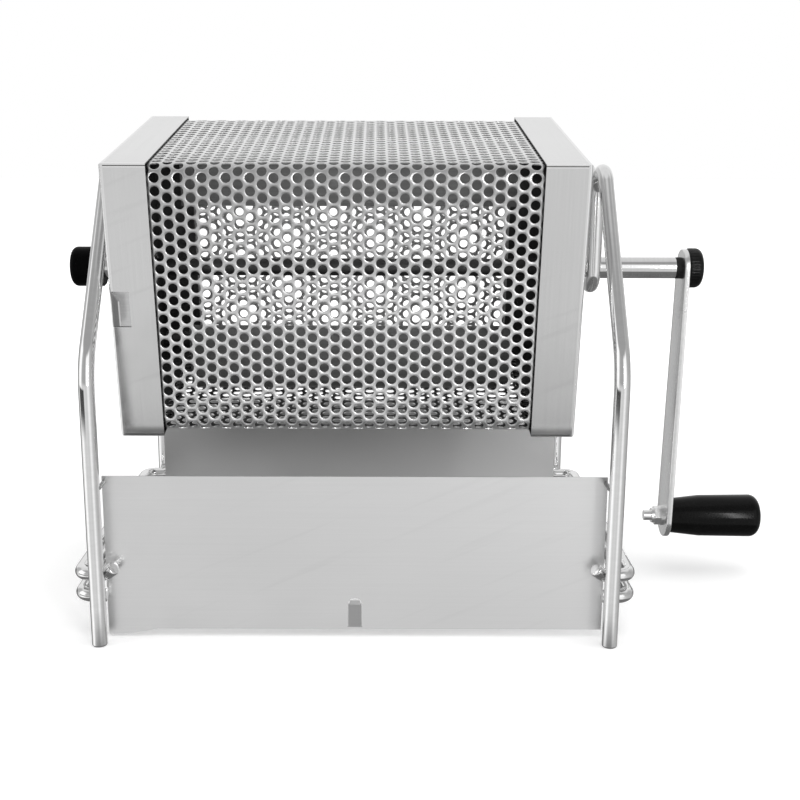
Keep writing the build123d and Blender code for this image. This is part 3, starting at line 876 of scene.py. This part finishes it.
# %% Door panel
door_out = 72.65
door_half = 97.65
door_foot = -67.5
door_top = 51.0
door_margin = 1.2
door_first = (-0.03, 1.33)
door_pitch = 6.616
door_step = 5.799
hinge_x = 57.9
hinge_reach = 9
hinge_foot = flat_half - strip_width - 3


def on_door(x, s, depth):
    """Seen from behind the drum, so that the outer skin faces out."""
    return (-x, door_out - depth, s)


def door_hole(x, s):
    """The door is plain under its hinges."""
    return s < hinge_foot or abs(abs(x) - hinge_x) > hinge_reach


door_cells = flat_cells(
    (-door_half, door_half), (door_foot, door_top), door_margin, door_first, door_pitch, door_step,
    door_hole)
sheet_piece("door_panel", "door", door_cells, on_door, door_inside, ["door"])

# %% [markdown]
# ## Turned pieces
# Knobs, the shaft and the grip are round about one axis, so each is a profile
# of distances along the axis and radii, spun into rings. A knurled rim gets its
# ridges by letting the radius rise and fall round the ring.


# %% Spin a profile into a piece
def spun(profile, sides=64, ridges=0, ridge_depth=0.0, knurled=None):
    """Rings round the X axis through (x, radius) points, in millimetres. knurled is where along the
    axis the ridges start and end."""
    bm = bmesh.new()
    rings = []
    for x, radius in profile:
        ring = []
        for k in range(sides):
            angle = 2 * math.pi * k / sides
            r = radius
            if knurled and knurled[0] <= x <= knurled[1]:
                r -= ridge_depth * (0.5 - 0.5 * math.cos(ridges * angle))
            ring.append(bm.verts.new((x, r * math.cos(angle), r * math.sin(angle))))
        rings.append(ring)
    return skin(bm, rings)


def rounded_end(x, radius, corner, steps=8):
    """Profile points round the corner at the far end of a turned piece."""
    points = []
    for k in range(steps + 1):
        angle = math.pi / 2 * k / steps
        points.append((x - corner + corner * math.sin(angle), radius - corner + corner * math.cos(angle)))
    return points


print("points round a corner:", len(rounded_end(10.0, 5.0, 1.0)))

# %% [markdown]
# ## The shaft
# A 12 mm bar carries the drum, with a thinner thread at each end for the knobs.
# It could be one plain cylinder, but behind the holes of the drum it shows as a
# narrow band. So the part between the hubs is turned down a little as well.

# %% Shaft
shaft_r = 6.0
shaft_chamfer = 0.4
thread_r = 4.0
shaft_left = -143.0
shaft_right = 180.0
left_thread = 14.9
right_thread = 5.1
arm_inner = 183.2
arm_outer = 186.2
neck_r = 4.9
past_hub = 2.0
neck_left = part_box("left_hub")[1].x / MM - stand_x + past_hub
neck_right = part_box("right_hub")[0].x / MM - stand_x - past_hub
shaft_profile = [
    (shaft_left - left_thread, thread_r), (shaft_left, thread_r),
    (shaft_left, shaft_r - shaft_chamfer), (shaft_left + shaft_chamfer, shaft_r),
    (neck_left, shaft_r), (neck_left, neck_r), (neck_right, neck_r), (neck_right, shaft_r),
    (shaft_right - shaft_chamfer, shaft_r), (shaft_right, shaft_r - shaft_chamfer),
    (shaft_right, thread_r), (arm_outer + right_thread, thread_r)]
finish_bmesh("turned_shaft", spun(shaft_profile), "drum", shaft_steel, ["shaft"], on_shaft)
print("shaft", round(shaft_right - shaft_left, 1), "mm, thin part", round(neck_right - neck_left, 1), "mm")

# %% [markdown]
# ## The knobs and the grip
# Both knobs are short cylinders with a rounded outer edge, and the right one has
# fine ridges to hold it by. The grip is a barrel that widens away from the arm. A
# cylinder with a bevel would do for a knob, but not for the grip's slope, so all
# three are spun.

# %% Knobs
knob_r = 11.15
knob_chamfer = 0.7
knob_corner = 3.5
left_knob_length = 17.9
right_knob_length = 8.1
ridge_count = 40
ridge_height = 0.22
ridge_zone = (0.6, 5.0)


def knob_profile(length):
    """From the chamfer at the shaft to the rounded outer end."""
    start = [(0.0, knob_r - knob_chamfer), (knob_chamfer, knob_r)]
    return start + rounded_end(length, knob_r, knob_corner)


left_knob = spun(knob_profile(left_knob_length), 96)
right_knob = spun(knob_profile(right_knob_length), 240, ridge_count, ridge_height, ridge_zone)
finish_bmesh(
    "left_round_knob", left_knob, "drum", worn_black, ["left_knob"],
    place(stand_x + shaft_left, 0, shaft_z) @ Matrix.Rotation(math.pi, 4, "Z"))
finish_bmesh(
    "right_round_knob", right_knob, "drum", knob_black, ["right_knob"],
    place(stand_x + arm_outer, 0, shaft_z))
print("knobs", round(knob_r * 2, 1), "mm across")

# %% Grip
grip_length = 53.5
grip_r = 12.6
grip_corner = 5.5
grip_start = arm_outer + 0.4
grip_end = grip_start + grip_length
grip_profile = [(grip_start, 4.1), (grip_start, 9.6), (grip_start + 0.6, 10.2), (grip_start + 18.0, 12.2)]
grip_profile += rounded_end(grip_end, grip_r, grip_corner, 12)
grip_profile += [(grip_end, 8.0)]
finish_bmesh(
    "barrel_grip", spun(grip_profile, 96), "handle", grip_black, ["handle_grip"], on_handle)
print("grip", grip_length, "mm long")

# %% [markdown]
# ## The crank arm
# The arm is a flat bar with round ends, wider at the handle. It is drawn as an
# outline round two circles, given its thickness, and its edges are broken with a
# small bevel, because a punched and plated bar has no sharp edge.


# %% Crank arm
arm_small_r = 10.6
arm_large_r = 12.5
arm_bevel = 0.5


def arm_outline(small, large, length, steps=24):
    """Outline round two circles, the small one at the origin and the large one below."""
    lean = math.asin((large - small) / length)
    points = []
    for k in range(steps + 1):
        angle = -lean + (math.pi + 2 * lean) * k / steps
        points.append((small * math.cos(angle), small * math.sin(angle)))
    for k in range(steps + 1):
        angle = math.pi + lean + (math.pi - 2 * lean) * k / steps
        points.append((large * math.cos(angle), -length + large * math.sin(angle)))
    return points


bm = bmesh.new()
outline = [bm.verts.new((arm_inner, y, z)) for y, z in arm_outline(arm_small_r, arm_large_r, arm_length)]
face = bm.faces.new(outline)
pushed = bmesh.ops.extrude_face_region(bm, geom=[face])
moved = [v for v in pushed["geom"] if isinstance(v, bmesh.types.BMVert)]
bmesh.ops.translate(bm, vec=(arm_outer - arm_inner, 0, 0), verts=moved)
rims = [e for e in bm.edges if abs(e.verts[0].co.x - e.verts[1].co.x) < 1e-6]
bmesh.ops.bevel(bm, geom=rims, offset=arm_bevel, segments=3, affect="EDGES", profile=0.5)
finish_bmesh(
    "flat_crank_arm", bm, "drum", crank_steel, ["crank_arm"],
    on_shaft @ Matrix.Rotation(arm_lean, 4, "X"))
print("crank arm", arm_length, "mm between centres")

# %% [markdown]
# ## CAD pieces that keep their shape
# The caps, shields, hubs, vanes, hinges and small fixings have the right shape
# already. Building them again would gain nothing, so they only get their finish.

# %% Finish the CAD pieces
finishes = (
    (cap_steel, "left_cap right_cap door_hinge_leaves door_pull"),
    (shield_steel, "front_shield rear_shield"),
    # The vanes and the shield studs get a dark grey as painted shade.
    (vane_steel, "lower_vane upper_vane shield_studs"),
    (bright_fixings, "left_hub right_hub hub_screws drum_hinges hinge_pins button_rivets"),
    (bright_fixings, "left_turn_button right_turn_button handle_bolt handle_washer handle_nut"),
    (washer_black, "crank_washer"),
    (grip_black, "grip_cap"))
for material, names in finishes:
    for name in names.split():
        for slot in nodes[name].material_slots:
            slot.material = material
    print(material.name, "on", names)

# %% [markdown]
# ## Floor
# The photograph was taken on plain white. The floor is a wide pale sheet that
# keeps the roaster's shadow. For the camera it also glows a little, more so far
# away, so that it meets the white behind it without a line. It is left out of
# mirrored rays: polished wire near a plain white floor would turn white too and
# be lost against it, and the studio round it gives wire its stripes.

# %% Floor sheet, 12 m wide
bm = bmesh.new()
bmesh.ops.create_grid(bm, x_segments=8, y_segments=8, size=6.0)
mesh = bpy.data.meshes.new("studio_floor")
bm.to_mesh(mesh)
bm.free()
floor = into_scene("studio_floor", mesh)
floor.visible_glossy = False
print("floor", [round(v, 1) for v in floor.dimensions])

# %% Floor paint, and a glow that only the camera sees
floor_greys = (0.84, 0.86)
glow_reach = {"From_Min": 0.35, "From_Max": 1.1, "To_Min": 0.26, "To_Max": 0.70}
material = bpy.data.materials.new("studio_floor")
material.use_nodes = True
tree = material.node_tree
tree.nodes.clear()
link = tree.links.new
where = add_node(tree, "ShaderNodeTexCoord").outputs["Object"]
cloud = use_group(tree, haze, where, Size=6.0, Low=0.0, High=1.0)
paint = add_node(tree, "ShaderNodeBsdfDiffuse")
link(blend_colours(tree, cloud.outputs["Value"], *floor_greys), paint.inputs["Color"])
away = add_node(tree, "ShaderNodeVectorMath", operation="LENGTH")
link(where, away.inputs[0])
far = add_node(tree, "ShaderNodeMapRange", interpolation_type="SMOOTHSTEP", **glow_reach)
link(away.outputs["Value"], far.inputs["Value"])
rays = add_node(tree, "ShaderNodeLightPath")
glow = add_node(tree, "ShaderNodeEmission", Color=grey(1.0))
link(calculate(tree, "MULTIPLY", rays.outputs["Is Camera Ray"], far.outputs[0]), glow.inputs["Strength"])
both = add_node(tree, "ShaderNodeAddShader")
out = add_node(tree, "ShaderNodeOutputMaterial")
link(paint.outputs[0], both.inputs[0])
link(glow.outputs[0], both.inputs[1])
link(both.outputs[0], out.inputs["Surface"])
mesh.materials.append(material)
print("floor greys", floor_greys, "and a glow of", glow_reach["To_Min"], "to", glow_reach["To_Max"])

# %% [markdown]
# ## The studio round the roaster
# Polished metal shows nothing but its surroundings. The camera sees plain white,
# but white all round would leave bright wire without form. So mirrored rays meet
# a studio of their own: soft boxes at the left and the front right, greyer walls
# between them, a dark floor, and one black card. They are set by compass
# direction, so they stay put whichever way the camera looks. Levels are given
# round the horizon, from straight behind, by way of the left, the front and the
# right, to behind again. One round lies low and the other high.

# %% Levels round the horizon
brightest = 1.5
low_round = [
    (-180, 0.55), (-150, 0.50), (-136, 0.12), (-126, 0.12), (-116, 0.55), (-98, 0.85), (-84, 1.30),
    (-68, 1.20), (-45, 0.76), (-30, 0.76), (-18, 0.78), (-13, 0.78), (0, 0.75), (8, 0.72), (14, 0.75),
    (27, 1.02), (40, 1.06), (54, 0.80), (68, 0.60), (98, 0.50), (118, 0.45), (130, 0.20), (140, 0.50),
    (160, 0.52), (180, 0.55)]
high_round = [
    (-180, 0.92), (-140, 0.88), (-125, 0.50), (-102, 0.55), (-94, 1.25), (-62, 1.25), (-50, 0.50),
    (-10, 0.42), (2, 0.50), (10, 1.20), (50, 1.20), (60, 0.55), (95, 0.45), (120, 0.55), (140, 0.88),
    (180, 0.92)]


def level_ramp(tree, value, stops):
    """A ramp through (degrees, level) stops. value runs from 0 to 1 for -180 to 180 degrees."""
    node = add_node(tree, "ShaderNodeValToRGB")
    ramp = node.color_ramp
    ramp.elements[0].position = 0.0
    ramp.elements[1].position = 1.0
    for degrees, _ in stops[1:-1]:
        ramp.elements.new((degrees + 180) / 360)
    for element, (_, level) in zip(ramp.elements, stops):
        element.color = grey(level / brightest)
    tree.links.new(value, node.inputs["Fac"])
    return node.outputs["Color"]


print("levels round the horizon:", len(low_round), "low", len(high_round), "high")

# %% A black card
card_sides = ((-96, -90), (-24, -30))
card_ends = ((-15.5, -12.5), (-4.0, -7.0))


def black_card(tree, share, height):
    """Mask of a long low card from the left to the front, for the wire's one hard dark stripe."""
    sides = [smooth_step(tree, share, (start + 180) / 360, (end + 180) / 360) for start, end in card_sides]
    ends = [smooth_step(tree, height, *limits) for limits in card_ends]
    across = calculate(tree, "MULTIPLY", *sides)
    return calculate(tree, "MULTIPLY", across, calculate(tree, "MULTIPLY", *ends))


print("black card from", card_sides[0][0], "to", card_sides[1][0], "degrees")

# %% World: the compass direction and the height that a ray points to
world = bpy.data.worlds.new("studio")
bpy.context.scene.world = world
world.use_nodes = True
tree = world.node_tree
tree.nodes.clear()
link = tree.links.new
apart = add_node(tree, "ShaderNodeSeparateXYZ")
link(add_node(tree, "ShaderNodeTexCoord").outputs["Generated"], apart.inputs[0])
x, y, z = apart.outputs
round_angle = calculate(tree, "ARCTAN2", x, calculate(tree, "MULTIPLY", y, -1.0))
share = calculate(tree, "MULTIPLY_ADD", round_angle, 0.5 / math.pi, 0.5)
height = calculate(tree, "MULTIPLY", calculate(tree, "ARCSINE", z), 180 / math.pi)
print("world", world.name)

# %% World: the studio's levels
# Heights are in degrees. A band names where it starts, where it is full, and its level.
high_from = (-2.0, 5.0)
ceiling_from = (34.0, 44.0)
ceiling_depth = (-0.3, 0.3)
ceiling_levels = (0.40, 0.84)
bands = ((62.0, 76.0, 0.80), (-31.0, -36.5, 0.20), (-56.0, -74.0, 0.18))
card_level = 0.08
level = blend_colours(
    tree, smooth_step(tree, height, *high_from), level_ramp(tree, share, low_round),
    level_ramp(tree, share, high_round))
front, rear = ceiling_levels
ceiling = blend_colours(tree, smooth_step(tree, y, *ceiling_depth), front / brightest, rear / brightest)
level = blend_colours(tree, smooth_step(tree, height, *ceiling_from), level, ceiling)
for start, full, band in bands:
    level = blend_colours(tree, smooth_step(tree, height, start, full), level, band / brightest)
level = blend_colours(tree, black_card(tree, share, height), level, card_level / brightest)
print("ceiling", ceiling_levels, "bands", [band for _, _, band in bands], "card", card_level)

# %% World: white to the camera, the studio to mirrored rays, an even fill to the rest
fill_strength = 0.75
mirrored = add_node(tree, "ShaderNodeBackground", Strength=brightest)
link(level, mirrored.inputs["Color"])
plain = add_node(tree, "ShaderNodeBackground", Color=grey(1.0), Strength=fill_strength)
white = add_node(tree, "ShaderNodeBackground", Color=grey(1.0), Strength=1.0)
rays = add_node(tree, "ShaderNodeLightPath")
shiny = calculate(tree, "MAXIMUM", rays.outputs["Is Glossy Ray"], rays.outputs["Is Transmission Ray"])
first = add_node(tree, "ShaderNodeMixShader")
second = add_node(tree, "ShaderNodeMixShader")
out = add_node(tree, "ShaderNodeOutputWorld")
link(shiny, first.inputs[0])
link(plain.outputs[0], first.inputs[1])
link(mirrored.outputs[0], first.inputs[2])
link(rays.outputs["Is Camera Ray"], second.inputs[0])
link(first.outputs[0], second.inputs[1])
link(white.outputs[0], second.inputs[2])
link(second.outputs[0], out.inputs["Surface"])
print("world nodes", len(tree.nodes))

# %% [markdown]
# ## Lamps
# Three wide soft lamps light what isn't metal, and lay the shadow on the floor.
# They stay out of mirrored rays, because the studio has its own soft boxes. The
# fourth, a tall thin strip, is there to be mirrored: it lays the soft highlight on
# the end of the black grip.


# %% Soft lamps
def soft_lamp(name, place_at, aim, width, height, power, mirrored=False):
    """A lamp of the given size in metres and power in watts, turned to its aim."""
    data = bpy.data.lights.new(name, "AREA")
    data.shape = "RECTANGLE"
    data.size = width
    data.size_y = height
    data.energy = power
    lamp = into_scene(name, data)
    lamp.location = place_at
    lamp.rotation_euler = (Vector(aim) - Vector(place_at)).to_track_quat("-Z", "Y").to_euler()
    lamp.visible_glossy = mirrored
    return lamp


middle = (stand_x * MM, 0.0, 0.14)
soft_lamp("top_light", (0.1, -0.1, 1.4), middle, 1.4, 1.0, 7.0)
soft_lamp("left_light", (-1.3, -0.5, 0.7), middle, 0.8, 1.2, 4.0)
soft_lamp("right_light", (1.2, -0.4, 0.7), middle, 0.8, 1.2, 4.0)
soft_lamp("grip_light", (0.60, -1.38, 0.46), middle, 0.10, 0.7, 3.6, mirrored=True)

# %% [markdown]
# ## Camera
# Its place, tilt and lens were fitted to points measured in the photograph. It
# stands 0.66 m in front of the shaft, level with the top of the drum, and looks 13
# degrees down. A camera looks along its own -Z, so its matrix is made from the
# directions of its right, its up and its back.

# %% Camera
camera_at = (-29.37, -663.1, 259.6)
pitch = math.radians(12.9)
roll = math.radians(0.16)
sensor_mm = 36.0
lens_mm = 52.66
sideways = 0.03125
ahead = Vector((0, math.cos(pitch), -math.sin(pitch)))
level_up = Vector((0, math.sin(pitch), math.cos(pitch)))
right = Vector((1, 0, 0)) * math.cos(roll) + level_up * math.sin(roll)
up = level_up * math.cos(roll) - Vector((1, 0, 0)) * math.sin(roll)
data = bpy.data.cameras.new("camera")
data.sensor_width = sensor_mm
data.lens = lens_mm
data.shift_x = sideways
camera = into_scene("camera", data)
turn = Matrix((right, up, -ahead)).transposed().to_4x4()
camera.matrix_world = place(*camera_at) @ turn
bpy.context.scene.camera = camera
print("camera at", [round(v, 3) for v in camera.location])
bpy.context.scene.view_settings.view_transform = "Standard"
